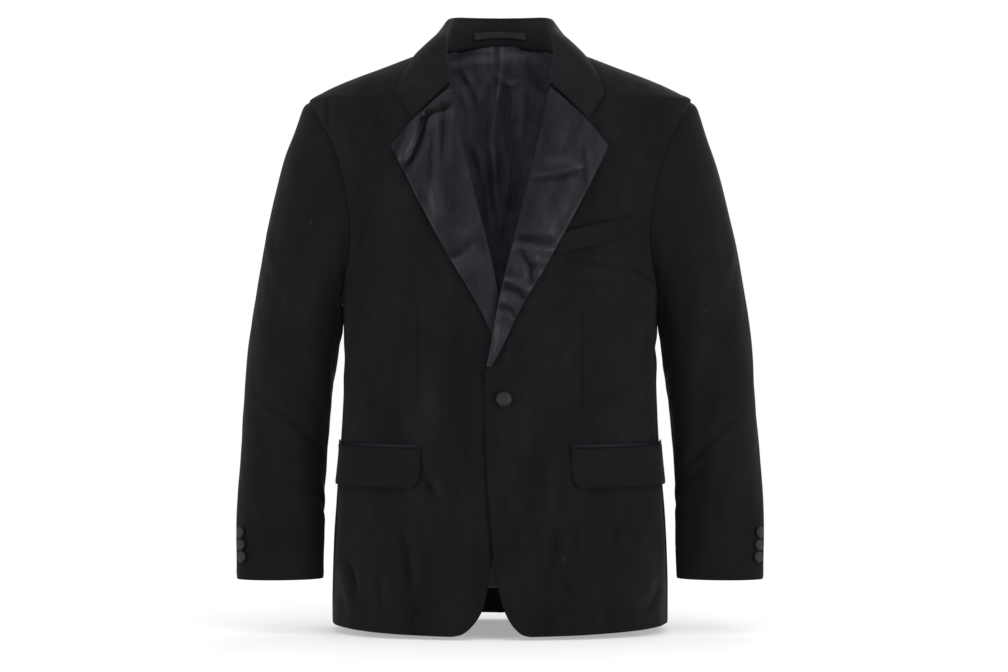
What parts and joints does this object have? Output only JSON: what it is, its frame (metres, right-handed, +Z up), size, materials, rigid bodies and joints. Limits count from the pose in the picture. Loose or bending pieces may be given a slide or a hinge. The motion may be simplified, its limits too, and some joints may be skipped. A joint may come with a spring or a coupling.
{
  "type": "suit jacket",
  "caption": "Single-breasted dinner jacket, hollow and filled out as if worn, with satin notch lapels, jetted flap pockets, a breast welt and set-in sleeves.",
  "frame": {"origin": "midway between the shoulders, at the level of the wearer's shoulders, which carry the jacket", "axes": "+X towards the wearer's left, +Y towards the back, +Z up; the fronts face -Y"},
  "size_m": [0.6778, 0.2877, 0.7922],
  "materials": {
    "black_wool": "matt black wool with a fine twill",
    "black_satin": "black satin with a soft broad sheen",
    "plum_lining": "dark plum lining twill, slightly glossy",
    "covered_button": "satin drawn over a moulded button"
  },
  "bodies": {
    "root": {"front_left": "black_wool", "front_right": "black_wool", "side_left": "black_wool", "side_right": "black_wool", "back_left": "black_wool", "back_right": "black_wool", "top_sleeve_left": "black_wool", "top_sleeve_right": "black_wool", "under_sleeve_left": "black_wool", "under_sleeve_right": "black_wool", "collar": "black_wool", "flap_left": "black_wool", "flap_right": "black_wool", "breast_welt": "black_wool", "hanger_loop": "black_wool", "lapel_left": "black_satin", "lapel_right": "black_satin", "jetting_left": "black_satin", "jetting_right": "black_satin", "lining_back": "plum_lining", "front_button": "covered_button", "cuff_button_left_1": "covered_button", "cuff_button_left_2": "covered_button", "cuff_button_left_3": "covered_button", "cuff_button_right_1": "covered_button", "cuff_button_right_2": "covered_button", "cuff_button_right_3": "covered_button"}
  },
  "joints": []
}
